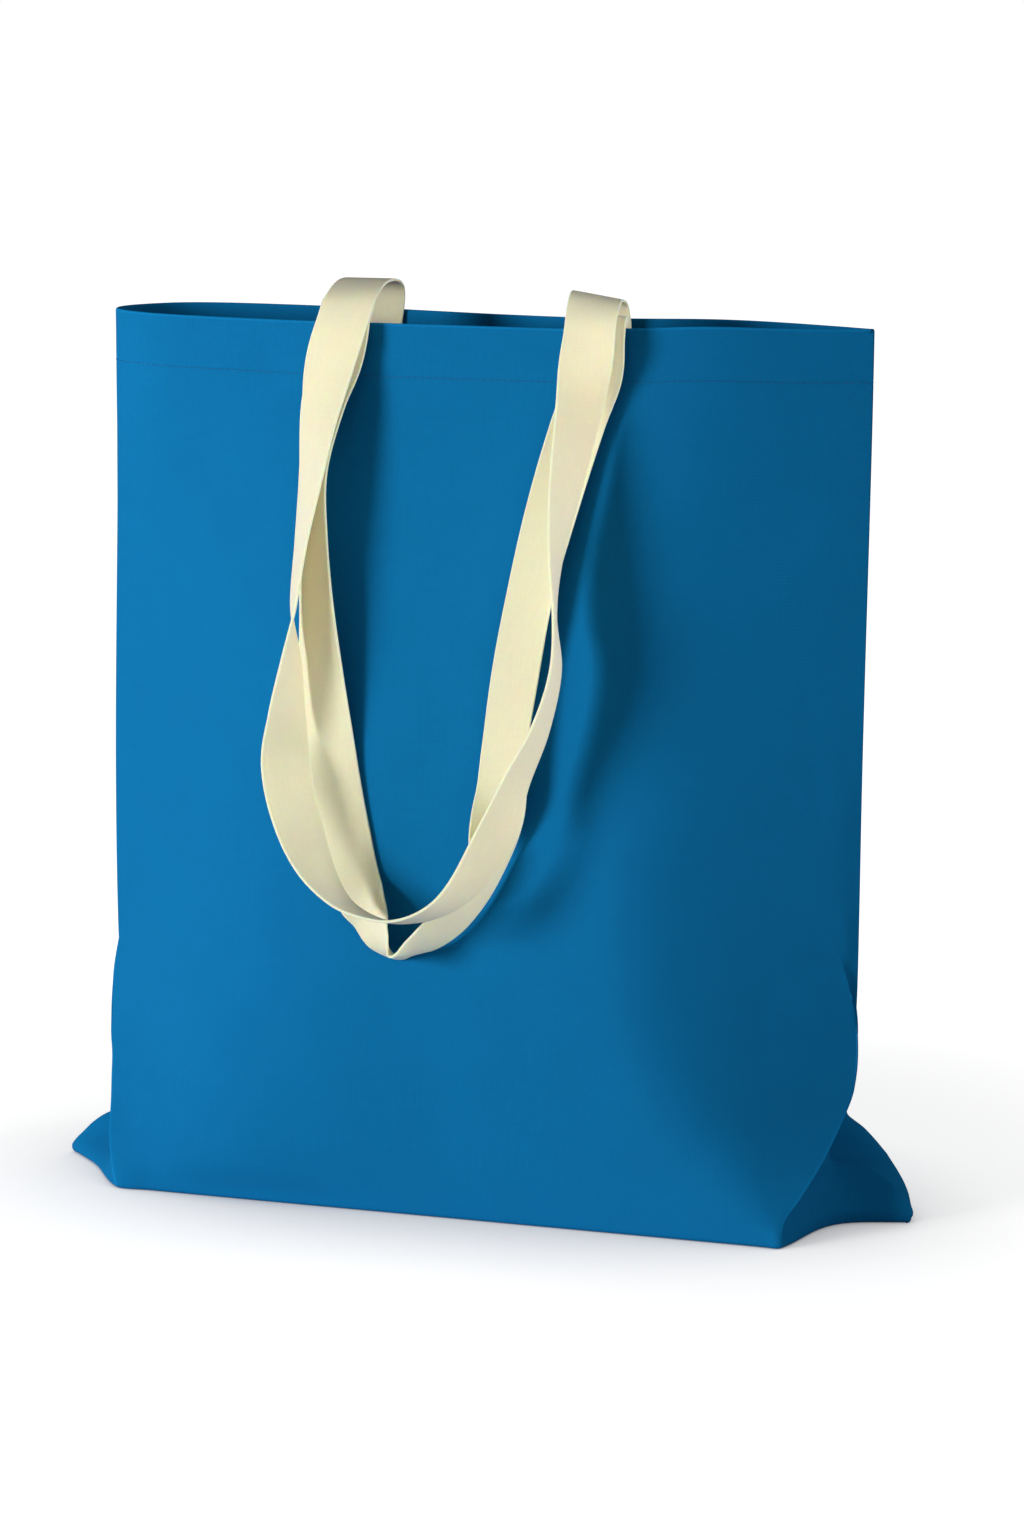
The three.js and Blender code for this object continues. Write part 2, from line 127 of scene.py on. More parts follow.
# Ribs, each a line that runs up the cloth: height, distance out from the middle, depth. Millimetres.
SEAM_ABOVE_EARS = [
    (46, 172.5, 0), (62, 178, 0), (80, 185, 0), (100, 188, 0), (130, 188.7, 0), (428, 190, 0),
]
SEAM_RIGHT = [
    (0, 215, 0), (5, 217.5, 0), (11, 215, 0), (16, 210, 0), (21, 203.5, 0), (25, 196, 0), (26.5, 190, 0),
    (28, 180, 0), (30, 175, 0), (36, 172, 0), *SEAM_ABOVE_EARS,
]
SEAM_LEFT = [
    (0, 216, 6), (3, 218, 7), (7, 215.5, 7), (11, 211.5, 6.5), (15.5, 207, 5.5), (19, 202.5, 4.5),
    (22, 197, 3), (25, 188.5, 1.5), (28, 180, 0), (33, 174, 0), *SEAM_ABOVE_EARS,
]
SIDE_ABOVE_EARS = [
    (70, 183.5, 3.6), (84, 184.5, 2.6), (100, 185.5, 2.2), (115, 185, 2.9), (130, 184.5, 3.8),
    (165, 181.5, 4.8), (200, 180, 5.4), (428, 178, 5),
]
EAR_FRONT_RIGHT = [
    (0, 186, 11), (7, 188, 13), (16, 184.5, 10), (24, 181, 8), (30, 177.5, 7.5), (38, 177, 8),
    (48, 179.5, 8), (58, 181.5, 6.5), *SIDE_ABOVE_EARS,
]
EAR_BACK_RIGHT = [
    (0, 206, 21), (5, 209, 19), (9, 211, 17), (14, 209, 18), (22, 203, 20), (31, 195.5, 20),
    (40, 188.5, 17), (48, 180.5, 14), (58, 181, 8.5), *SIDE_ABOVE_EARS,
]
EAR_LEFT = [
    (0, 199, 28), (6, 197, 23.5), (12, 193, 16), (18, 188, 10.5), (24, 183.5, 7), (30, 180, 6.5),
    (38, 178.5, 7), (48, 179.5, 7.5), (58, 181.5, 6), *SIDE_ABOVE_EARS,
]
EAR_BACK_LEFT = [
    (0, 200, 27), (6, 199, 25), (12, 195, 22), (18, 189, 19), (24, 183, 15), (30, 179, 12), (38, 177.5, 11),
    (48, 179.5, 9.5), (58, 181.5, 6.5), *SIDE_ABOVE_EARS,
]
CREASE_ABOVE_EARS = [
    (56, 187.7, 16), (66, 190, 10), (78, 190.6, 6), (92, 190, 4.2), (112, 186.5, 4.8), (130, 181, 6.2),
    (165, 174, 9.2), (200, 168, 11.8), (428, 160, 11),
]
CREASE_FRONT = [
    (0, 169, 63), (6, 168.5, 62), (10, 168.5, 60), (22, 174.5, 50), (29, 178, 42), (37, 181.5, 33),
    (47, 185, 24), *CREASE_ABOVE_EARS,
]
CREASE_LEFT = [
    (0, 170, 63), (6, 171.5, 62), (10, 173, 60), (22, 178, 50), (29, 180.5, 42), (37, 183, 33),
    (47, 185.5, 24), *CREASE_ABOVE_EARS,
]
CREASE_BACK = [
    (0, 165, 63), (10, 163.5, 60), (22, 164.5, 52), (29, 165.5, 45), (37, 167, 36), (47, 170, 26),
    (56, 175.5, 17), (66, 181.5, 10.5), (78, 186, 6), (92, 188, 4.2), (130, 181, 8.5), (200, 168, 12.5),
    (428, 160, 11),
]
RIDGE = [
    (0, 152, 63), (15, 149, 62.6), (30, 140, 61.6), (60, 118, 60), (95, 101, 58), (150, 90, 55),
    (250, 86, 48), (350, 86, 41), (428, 86, 36),
]
BEND = [
    (0, 160, 63), (15, 155, 62.8), (30, 144, 62), (60, 122, 60.5), (95, 104, 58.4), (150, 94, 55.4),
    (250, 92, 48.6), (350, 90, 41), (428, 86, 36),
]
MIDDLE = [
    (0, 0, 63), (30, 0, 64), (95, 0, 60.5), (150, 0, 57), (250, 0, 50), (350, 0, 43), (428, 0, 38.5),
]

# Ribs in order round the bag: rows, side of X, side of Y, place at the mouth, how the cloth turns there.
RIBS = [
    (SEAM_LEFT, -1, -1, (-190, 2), "round seam"),
    (EAR_LEFT, -1, -1, (-184, -12), "soft"),
    (CREASE_LEFT, -1, -1, (-165, -24), "crease"),
    (RIDGE, -1, -1, (-95, -37), "soft"),
    (MIDDLE, 0, -1, (2, -39), "soft"),
    (BEND, 1, -1, (84, -37), "bend"),
    (CREASE_FRONT, 1, -1, (122, -28), "crease"),
    (EAR_FRONT_RIGHT, 1, -1, (156, -12), "soft"),
    (SEAM_RIGHT, 1, 1, (191, 5), "sharp seam"),
    (EAR_BACK_RIGHT, 1, 1, (158, 17), "soft"),
    (CREASE_BACK, 1, 1, (118, 21), "crease"),
    (RIDGE, 1, 1, (74, 5), "soft"),
    (MIDDLE, 0, 1, (8, 20), "soft"),
    (RIDGE, -1, 1, (-85, 40), "soft"),
    (CREASE_BACK, -1, 1, (-165, 41), "crease"),
    (EAR_BACK_LEFT, -1, 1, (-185, 25), "soft"),
]
# Turns at which the columns of cloth lie closer together, and how much closer.
FOLDED = ("round seam", "sharp seam", "crease")
FOLD_CROWDING = 1.7
# Columns of cloth from a side seam to the middle of a panel, span by span, then for the whole round.
SPAN_COLUMNS = (10, 16, 26, 30)
ROUND_COLUMNS = (SPAN_COLUMNS + SPAN_COLUMNS[::-1]) * 2
PANEL_MIDDLES = (4, 12)

# Handles: middle of the tape, then the direction across it from one edge to the other. Millimetres.
BACK_HANDLE_ROUTE = [
    (-64, 32.6, 402, 0.98, -0.2, 0), (-64, 32.4, 418, 0.98, -0.2, 0), (-63, 31, 429, 0.99, -0.14, 0),
    (-60, 22, 439.6, 1, 0, 0), (-57, 4, 444.6, 1, 0.05, 0), (-54, -22, 444.8, 1, 0.1, 0),
    (-52.6, -40, 438.8, 0.98, 0.18, 0.03), (-54.2, -48.8, 426.6, 0.99, 0.12, 0.03),
    (-58.2, -52.5, 410.2, 1, 0, 0.06), (-62.2, -57, 383.4, 0.88, -0.46, 0.12),
    (-65.6, -61, 353.6, 0.71, -0.69, 0.17), (-69, -65.1, 324.4, 0.54, -0.82, 0.18),
    (-71.7, -68.9, 293.8, 0.41, -0.89, 0.18), (-71.7, -71.8, 272.6, 0.03, -0.98, 0.18),
    (-73.1, -74.6, 244.1, -0.41, -0.9, 0.14), (-72.4, -77.9, 219.2, -0.78, -0.62, 0.06),
    (-65.5, -81.6, 194.2, -0.72, -0.68, 0.08), (-52.7, -86.5, 169.8, -0.41, -0.9, 0.14),
    (-38.1, -91.3, 157.1, 0.01, -0.99, 0.12), (-14.7, -96.6, 152.3, 0.31, -0.93, 0.22),
    (4.5, -96.7, 156.8, 0.09, -0.93, 0.35), (19.8, -92, 168.6, -0.24, -0.89, 0.38),
    (34.6, -87.1, 193.2, -0.43, -0.77, 0.48), (43.6, -82.7, 219.3, -0.17, -0.91, 0.38),
    (54.4, -78.5, 245, 0, -0.95, 0.3), (60.9, -75.3, 272.9, 0.11, -0.98, 0.18),
    (59.3, -72, 298.2, 0.25, -0.95, 0.19), (58.8, -69, 322.6, 0.07, -0.98, 0.18),
    (62.1, -64.3, 357.2, -0.34, -0.93, 0.15), (66.6, -56.5, 396, -0.72, -0.69, 0.08),
    (69, -52, 421.4, -0.98, -0.12, 0.04), (68.9, -47.2, 433.4, -0.98, 0.06, 0.08),
    (67.2, -36, 440.8, -0.98, 0.06, 0.14), (63.6, -18, 441.6, -0.98, -0.02, 0.15),
    (62.2, -5, 437.4, -0.98, 0.1, 0.08), (62, 1.1, 428, -0.98, 0.17, 0), (62, 2.3, 418, -0.98, 0.18, 0),
    (62, 2.7, 402, -0.98, 0.18, 0),
]
FRONT_HANDLE_ROUTE = [
    (-57, -36.1, 402, 1, 0, 0), (-57, -36, 418, 1, 0, 0), (-57, -34.6, 428, 1, 0.02, 0),
    (-56.4, -32, 434.4, 1, 0.05, 0), (-55.6, -34.4, 437.6, 1, 0.1, 0), (-55, -40, 433.8, 0.99, 0.12, 0.02),
    (-54.8, -44.2, 423, 0.99, 0.1, 0.02), (-57.4, -46, 409, 0.99, 0, 0.04),
    (-62.9, -48.5, 391.7, 0.98, -0.2, 0.09), (-66.6, -53.6, 358.8, 0.78, -0.61, 0.16),
    (-65.9, -56.7, 325.8, 0.79, -0.59, 0.15), (-63.8, -58, 292.5, 0.87, -0.48, 0.14),
    (-61, -58.5, 254.2, 0.99, -0.13, 0.08), (-56.5, -59.6, 220.7, 0.97, 0.23, 0.02),
    (-50.2, -60.6, 188.2, 0.97, 0.24, 0.01), (-42.5, -63.4, 160.2, 0.98, 0.15, 0.13),
    (-34.8, -67.1, 148.8, 0.9, -0.39, 0.18), (-28.3, -70.9, 138.1, 0.72, -0.65, 0.24),
    (-18.9, -72.8, 130.3, 0.3, -0.93, 0.21), (-8.2, -72.7, 135.8, 0.05, -0.87, 0.49),
    (3.9, -72, 146, -0.13, -0.77, 0.63), (15.9, -70.4, 159.6, -0.23, -0.8, 0.55),
    (24.9, -68.4, 178.1, -0.42, -0.76, 0.5), (28, -65.7, 193.9, -0.84, -0.51, 0.16),
    (30.1, -62.7, 209.8, -1, -0.04, 0.02), (30.5, -59.6, 229.7, -0.97, 0.22, -0.1),
    (34.8, -56, 266.1, -0.98, 0.17, -0.09), (42.2, -53, 308.8, -0.97, 0.2, -0.09),
    (52.9, -50, 351.3, -1, -0.06, -0.05), (63.5, -47.5, 386.6, -0.97, -0.25, -0.01),
    (70.9, -45.6, 408.1, -0.96, -0.27, -0.01), (71.2, -43.4, 424.6, -0.97, -0.2, 0.02),
    (70.8, -39.6, 432.4, -0.98, -0.18, 0.08), (70.2, -35.6, 434.4, -0.98, -0.16, 0.08),
    (69.4, -33.1, 428, -0.98, -0.16, 0.02), (69, -33.6, 418, -0.98, -0.16, 0),
    (69, -33.8, 402, -0.98, -0.16, 0),
]
TAPE_STEPS = 9
# Weave of the handles and their paler edge, in metres; the paler edge is partly the selvedge and partly a
# painted highlight.
TAPE_PITCH = 0.00052
TAPE_EDGE = 0.0011
TAPE_EDGE_FULL = 0.0005
# Boxes of stitches at the ends of the handles, in millimetres.
BOX_FROM = 403.5
BOX_TO = 421.0
BOX_INSET = 2.6


def ease(value):
    t = np.clip(value, 0.0, 1.0)
    return t * t * (3.0 - 2.0 * t)


def past(heights, change):
    """0 below the start of a change, 1 above its end, smooth between."""
    start, span = change
    return ease((heights - start) / span)


def unit(vectors):
    return vectors / np.maximum(np.linalg.norm(vectors, axis=-1, keepdims=True), 1e-9)


def run_along(points):
    """Distance of each point from the first, along the line through all of them."""
    return np.concatenate([[0.0], np.cumsum(np.linalg.norm(np.diff(points, axis=0), axis=1))])


def ring_faces(rings, corners):
    """Faces between rings of points that follow one another."""
    faces = []
    for r in range(rings - 1):
        for c in range(corners):
            d = (c + 1) % corners
            faces.append((r * corners + c, r * corners + d, (r + 1) * corners + d, (r + 1) * corners + c))
    return faces


def hermite(start, start_slope, end, end_slope, t):
    back = 1.0 - t
    return (
        (1.0 + 2.0 * t) * back * back * start + t * back * back * start_slope
        + t * t * (3.0 - 2.0 * t) * end - t * t * back * end_slope
    )


def profile_at(rows, heights):
    """Smooth curve through rows of (height, out, depth) that never overshoots them."""
    table = np.array(rows, float)
    at, values = table[:, 0], table[:, 1:]
    step = np.diff(at)[:, None]
    rise = np.diff(values, axis=0) / step
    slope = np.zeros_like(values)
    slope[0], slope[-1] = rise[0], rise[-1]
    before, after = rise[:-1], rise[1:]
    weight_before = 2.0 * step[1:] + step[:-1]
    weight_after = step[1:] + 2.0 * step[:-1]
    same_way = before * after > 0.0
    safe_before = np.where(same_way, before, 1.0)
    safe_after = np.where(same_way, after, 1.0)
    mean = (weight_before + weight_after) / (weight_before / safe_before + weight_after / safe_after)
    slope[1:-1] = np.where(same_way, mean, 0.0)
    place = np.clip(heights, at[0], at[-1])
    row = np.clip(np.searchsorted(at, place) - 1, 0, len(at) - 2)
    width = step[row]
    t = ((place - at[row])[:, None]) / width
    return hermite(values[row], width * slope[row], values[row + 1], width * slope[row + 1], t)


def rib_points(rib, heights, top):
    """Places of one rib at the given heights, as rows of x and y."""
    rows, side_x, side_y, rim, _ = rib
    placed = profile_at(rows, heights) * (side_x, side_y)
    at_rim = profile_at(rows, np.array([top]))[0] * (side_x, side_y)
    if side_x < 0:
        fade = 1.0 - past(heights, FULLNESS_FADES)
        placed[:, 0] -= LEFT_FULLNESS * past(heights, FULLNESS_RISES) * fade
    mouth = ease((heights - RIM_STARTS) / (top - RIM_STARTS))[:, None]
    return placed + mouth * (np.array(rim) - at_rim)


def turn_sharpness(kind, heights):
    """How sharply the cloth turns at a rib: 0 is a smooth curve, 1 a fold."""
    if kind == "sharp seam":
        return np.ones_like(heights)
    if kind == "round seam":
        return 1.0 - past(heights, SEAM_OPENS)
    if kind == "crease":
        closed = CREASE_AT_FLOOR + (1.0 - CREASE_AT_FLOOR) * past(heights, CREASE_CLOSES)
        return (1.0 - past(heights, CREASE_OPENS)) * closed
    if kind == "bend":
        return BEND_SHARPNESS * (1.0 - 0.5 * past(heights, BEND_OPENS))
    return np.zeros_like(heights)


def span_places(columns, tight_start, tight_end):
    """Places of the columns in one span, closer together at a fold."""
    t = np.arange(columns) / columns
    if tight_start and not tight_end:
        return t ** FOLD_CROWDING
    if tight_end and not tight_start:
        return 1.0 - (1.0 - t) ** FOLD_CROWDING
    if tight_start and tight_end:
        return 0.5 - 0.5 * np.cos(np.pi * t)
    return t


def wall_sections(heights, top):
    """Level sections of the bag's outside: an array of rows, columns and x, y, z in millimetres."""
    count = len(RIBS)
    knots = np.stack([rib_points(rib, heights, top) for rib in RIBS], axis=1)
    chords = np.roll(knots, -1, axis=1) - knots
    lengths = np.linalg.norm(chords, axis=2, keepdims=True)
    ways = chords / lengths
    came = np.roll(ways, 1, axis=1)
    came_length = np.roll(lengths, 1, axis=1)
    share = lengths / (lengths + came_length)
    smooth = came * share + ways * (1.0 - share)
    at_crease = np.array([rib[4] == "crease" for rib in RIBS])[None, :, None]
    smooth = np.where(at_crease, came * (1.0 - share) + ways * share, smooth)
    sharp = np.stack([turn_sharpness(rib[4], heights) for rib in RIBS], axis=1)[..., None]
    arrive = smooth + (came - smooth) * sharp
    leave = smooth + (ways - smooth) * sharp
    sections = []
    for i in range(count):
        after = (i + 1) % count
        places = span_places(ROUND_COLUMNS[i], RIBS[i][4] in FOLDED, RIBS[after][4] in FOLDED)
        for t in places:
            sections.append(hermite(
                knots[:, i], lengths[:, i] * leave[:, i],
                knots[:, after], lengths[:, i] * arrive[:, after], t,
            ))
    plan = np.stack(sections, axis=1)
    level = np.broadcast_to(heights[:, None, None], plan.shape[:2] + (1,))
    return np.concatenate([plan, level], axis=2)


def rib_columns():
    """Column number at which each rib runs."""
    return np.concatenate([[0], np.cumsum(ROUND_COLUMNS)])


def softened_bends(wall):
    """Rounds the cloth over its soft bends, tightly low down and widely near the mouth."""
    starts = rib_columns()
    for number, rib in enumerate(RIBS):
        if rib[4] != "bend":
            continue
        middle = starts[number]
        near = np.arange(middle - BEND_COLUMNS, middle + BEND_COLUMNS + 1)
        fade = 1.0 - ease(np.abs(near - middle) / BEND_COLUMNS)
        for _ in range(BEND_PASSES):
            strip = wall[:, near[0] - 1:near[-1] + 2]
            mean = (strip[:, :-2] + strip[:, 2:]) * 0.5
            wall[:, near] += (mean - wall[:, near]) * (0.5 * fade)[None, :, None]
    return wall


def softened_high(wall):
    """Lets the upper cloth run in wide smooth curves between the side seams."""
    half = wall.shape[1] // 2
    samples = np.arange(-SMOOTH_SAMPLES, SMOOTH_SAMPLES + 1)
    spread = np.exp(-0.5 * (samples * SMOOTH_STEP / SMOOTH_REACH) ** 2)
    spread = spread / spread.sum()
    closed = np.concatenate([wall, wall[:, :1]], axis=1)
    for row in range(wall.shape[0]):
        share = past(wall[row, 0, 2], SMOOTHING_GROWS)
        if share == 0.0:
            continue
        for start in (0, half):
            strip = closed[row, start:start + half + 1, :2]
            run = run_along(strip)
            even = np.arange(0.0, run[-1], SMOOTH_STEP)
            held = share * ease(np.minimum(run, run[-1] - run) / (2.0 * SMOOTH_REACH))
            for axis in (0, 1):
                line = np.interp(even, run, strip[:, axis])
                before = 2.0 * line[0] - line[SMOOTH_SAMPLES:0:-1]
                after = 2.0 * line[-1] - line[-2:-2 - SMOOTH_SAMPLES:-1]
                smooth = np.convolve(np.concatenate([before, line, after]), spread, "valid")
                moved = np.interp(run, even, smooth) - strip[:, axis]
                wall[row, start:start + half, axis] += (moved * held)[:half]
    return wall


def grid_normals(wall):
    """Direction out of the cloth at every point of a grid that closes round the bag."""
    along = np.roll(wall, -1, axis=1) - np.roll(wall, 1, axis=1)
    up = np.gradient(wall, axis=0)
    return unit(np.cross(along, up))


def wave(points, scale, seed):
    """Soft random waves from -1 to 1 at points in millimetres."""
    offset = Vector((17.0 * seed, 5.0 * seed, 11.0 * seed))
    flat = points.reshape(-1, 3) / scale
    values = [noise.noise(Vector(p) + offset) for p in flat]
    return np.array(values).reshape(points.shape[:-1])


def valley(wall, start, end, width, depth):
    """A soft valley on the front between two (x, z) places, in millimetres of depth."""
    ends = np.array(start, float), np.array(end, float)
    line = ends[1] - ends[0]
    length = np.linalg.norm(line)
    line = line / length
    away = wall[..., [0, 2]] - ends[0]
    along = away @ line
    across = away[..., 0] * line[1] - away[..., 1] * line[0]
    fade = ease(along / (0.3 * length)) * ease((length - along) / (0.3 * length))
    front = wall[..., 1] < 0.0
    return np.where(front, -depth * fade * np.exp(-0.5 * (across / width) ** 2), 0.0)


def dressed_wall(heights, top):
    """The outside of the bag with the slack and the small waves of the cloth in it."""
    wall = softened_high(softened_bends(wall_sections(heights, top)))
    out = grid_normals(wall)
    starts = rib_columns()
    at_fold = np.zeros(wall.shape[:2])
    for number, rib in enumerate(RIBS):
        if rib[4] not in FOLDED:
            continue
        gap = np.abs(np.arange(wall.shape[1]) - starts[number])
        gap = np.minimum(gap, wall.shape[1] - gap)
        tight = turn_sharpness(rib[4], heights) if rib[4] == "crease" else np.ones_like(heights)
        at_fold = np.maximum(at_fold, tight[:, None] * (1.0 - ease(gap / STILL_COLUMNS))[None, :])
    loose = (1.0 - at_fold) * past(heights, SLACK_GROWS)[:, None]
    push = sum(size * wave(wall, length, seed) for size, length, seed in (WIDE_WAVE, SMALL_WAVE))
    push = push * loose
    push = push + valley(wall, *FRONT_VALLEY)
    dressed = wall + out * push[..., None]
    beside = np.exp(-(((wall[..., 0] - RIM_LIFT_AT) / RIM_LIFT_REACH) ** 2))
    high = ease((heights - (1.0 - RIM_LIFT_SHARE) * top) / (RIM_LIFT_SHARE * top))[:, None]
    behind = np.exp(-(((wall[..., 0] - BACK_RIM_LIFT_AT) / BACK_RIM_LIFT_REACH) ** 2))
    half = wall.shape[1] // 2
    in_front = (np.arange(wall.shape[1]) < half)[None, :]
    dressed[..., 2] += np.where(in_front, RIM_LIFT * beside, BACK_RIM_LIFT * behind) * high
    return dressed


def parted_at_seams(ring, outer):
    """Keeps the insides of front and back apart where they run into a side seam."""
    half = ring.shape[1] // 2
    parted = ring.copy()
    columns = np.arange(ring.shape[1])
    side = np.where(columns < half, -1.0, 1.0)[None, :]
    seam = np.where(parted[..., 0:1] < 0.0, outer[:, 0:1], outer[:, half:half + 1])
    ahead = side * (outer[..., 1] - seam[..., 1]) > 0.0
    close = ahead & (side * (parted[..., 1] - seam[..., 1]) < SEAM_GAP)
    parted[..., 1] = np.where(close, seam[..., 1] + side * SEAM_GAP, parted[..., 1])
    on_seam = (columns % half == 0)[None, :]
    parted[..., 1] = np.where(on_seam, seam[..., 1], parted[..., 1])
    stop = np.abs(seam[..., 0]) - SEAM_STOP
    narrow = np.abs(seam[..., 1] - parted[..., 1]) < 2.0 * SEAM_GAP
    past = np.abs(parted[..., 0]) > stop
    step = SEAM_STEP * np.minimum(columns % half, half - columns % half)[None, :]
    parted[..., 0] = np.where(narrow & past, np.sign(seam[..., 0]) * (stop - step), parted[..., 0])
    return parted


def wall_heights(top, hem):
    """Heights of the rows of cloth, closer together at the base and at the hem row."""
    low = np.linspace(BASE_ROUND, 62.0, 40)
    high = np.linspace(62.0, top - hem - 4.0, 104)[1:]
    sewn = top - hem + np.array([-2.2, -1.2, -0.5, 0.0, 0.5, 1.2, 2.2, 4.0])
    rim = np.linspace(top - hem + 4.0, top - 1.4, 8)[1:]
    return np.concatenate([low, high, sewn, rim])


def make_mesh(name, points, faces, corner_uv):
    """A mesh in metres from points in millimetres, with one UV map called thread."""
    mesh = bpy.data.meshes.new(name)
    mesh.from_pydata((np.asarray(points) * MM).tolist(), [], faces)
    layer = mesh.uv_layers.new(name="thread")
    layer.data.foreach_set("uv", np.asarray(corner_uv, np.float32).ravel())
    mesh.polygons.foreach_set("use_smooth", np.ones(len(faces), bool))
    mesh.validate()
    mesh.update()
    return mesh


def show(name, mesh, material):
    piece = bpy.data.objects.new(name, mesh)
    bpy.context.scene.collection.objects.link(piece)
    mesh.materials.clear()
    mesh.materials.append(material)
    return piece


def body_rows(settings):
    """All rings of the bag's skin, from the edge of the base up, over the rim and down the inside."""
    top = settings.height / MM
    hem = settings.hem_depth / MM
    cloth = settings.cloth_thickness / MM
    heights = wall_heights(top, hem)
    wall = dressed_wall(heights, top)
    out = grid_normals(wall)
    level = unit(out * (1.0, 1.0, 0.0))
    pulled = np.exp(-0.5 * ((heights - (top - hem)) / HEM_DENT_WIDTH) ** 2)
    wall = wall - out * (HEM_DENT * pulled)[:, None, None]

    rows = []
    first, first_level = wall[0], level[0]
    for angle in np.linspace(0.0, 0.5 * math.pi, 5)[:-1]:
        ring = first - first_level * BASE_ROUND * (1.0 - math.sin(angle))
        ring = ring * (1, 1, 0) + np.array([0, 0, BASE_ROUND * (1.0 - math.cos(angle))])
        rows.append(ring)
    rows.extend(wall)
    outer_count = len(rows)

    rim, rim_level = wall[-1], level[-1]
    for angle in np.linspace(0.0, math.pi, 8)[1:]:
        ring = rim - rim_level * RIM_RADIUS * (1.0 - math.cos(angle))
        ring = ring + np.array([0, 0, RIM_RADIUS * math.sin(angle) + RIM_RISE])
        rows.append(ring)
    inside = []
    inside_outer = []
    hem_rows = [i for i in range(len(heights)) if heights[i] > top - hem - 0.1][::-1]
    for i in hem_rows[1:]:
        inside.append(wall[i] - level[i] * (2.0 * RIM_RADIUS))
        inside_outer.append(wall[i])
    last = hem_rows[-1]
    inside.append(wall[last] - level[last] * (cloth + 0.5) - np.array([0, 0, 0.5]))
    inside_outer.append(wall[last])
    below = [i for i in range(len(heights)) if heights[i] < top - hem - 0.6][::-1]
    for i in below[::2]:
        inside.append(wall[i] - out[i] * cloth)
        inside_outer.append(wall[i])
    floor = first - first_level * (cloth + 0.4)
    inside.append(floor * (1, 1, 0) + np.array([0, 0, cloth]))
    inside_outer.append(first)
    inside = parted_at_seams(np.array(inside), np.array(inside_outer))
    rows.extend(inside)
    return np.array(rows), outer_count


def painted_fold_highlight(rows, outer_count):
    """How strongly a highlight is painted on the cloth along its creases and along the rim, 0 to 1, for
    every point.
    """
    highlight = np.zeros(rows.shape[:2])
    starts = rib_columns()
    outer = rows[:outer_count]
    low = 1.0 - past(outer[..., 2], HIGHLIGHT_FADES)
    for number, rib in enumerate(RIBS):
        if rib[4] == "crease":
            gap = np.linalg.norm(outer - outer[:, starts[number]:starts[number] + 1], axis=2)
            painted_highlight = np.exp(-((gap / HIGHLIGHT_WIDTH) ** 2)) * low
            highlight[:outer_count] = np.maximum(highlight[:outer_count], painted_highlight)
    # The rim fold gets the full painted highlight.
    highlight[outer_count:outer_count + 4] = 1.0
    return highlight


def base_grid(ring, strips):
    """Rows of points that cross the base from the front edge to the back edge, column by column."""
    half = len(ring) // 2
    front = ring[1:half]
    back = ring[:half:-1]
    share = np.linspace(0.0, 1.0, strips + 1)[1:-1]
    return front[None] + (back - front)[None] * share[:, None, None]


def body_mesh(settings):
    """The skin of the bag, outside and inside, with its base."""
    rows, outer_count = body_rows(settings)
    count, columns = rows.shape[:2]
    ring_length = np.linalg.norm(np.roll(rows, -1, axis=1) - rows, axis=2)
    around = np.concatenate([np.zeros((count, 1)), np.cumsum(ring_length, axis=1)], axis=1) * MM
    middles = rib_columns()[list(PANEL_MIDDLES)]
    along = np.linalg.norm(np.diff(rows, axis=0), axis=2)
    upward = np.concatenate([np.zeros((1, columns)), np.cumsum(along, axis=0)]) * MM
    points = list(rows.reshape(-1, 3))
    faces = ring_faces(count, columns)
    uv = []
    for r in range(count - 1):
        for c in range(columns):
            d = (c + 1) % columns
            middle = middles[c // (columns // 2)]
            low, high = around[r] - around[r, middle], around[r + 1] - around[r + 1, middle]
            uv.extend((
                (low[c], upward[r, c]), (low[c + 1], upward[r, d]),
                (high[c + 1], upward[r + 1, d]), (high[c], upward[r + 1, c]),
            ))
    half = columns // 2
    for ring_row, faces_up in ((0, False), (count - 1, True)):
        ring = rows[ring_row]
        first = len(points)
        points.extend(base_grid(ring, BASE_STRIPS).reshape(-1, 3))
        start = ring_row * columns

        def number(strip, column):
            if column in (0, half):
                return start + column
            if strip == 0:
                return start + column
            if strip == BASE_STRIPS:
                return start + columns - column
            return first + (strip - 1) * (half - 1) + column - 1

        for strip in range(BASE_STRIPS):
            for c in range(half):
                corners = [
                    number(strip, c), number(strip + 1, c), number(strip + 1, c + 1), number(strip, c + 1),
                ]
                if faces_up:
                    corners.reverse()
                tidy = [corner for k, corner in enumerate(corners) if corner != corners[k - 1]]
                if len(tidy) < 3:
                    continue
                faces.append(tuple(tidy))
                uv.extend((points[k][0] * MM, points[k][1] * MM) for k in tidy)
    mesh = make_mesh("bag_cloth", points, faces, uv)
    # Painted highlight along the creases and the rim, kept in the fold attribute.
    painted_highlight = np.zeros(len(points), np.float32)
    painted_highlight[:count * columns] = painted_fold_highlight(rows, outer_count).ravel()
    mesh.attributes.new("fold", "FLOAT", "POINT").data.foreach_set("value", painted_highlight)
    return mesh


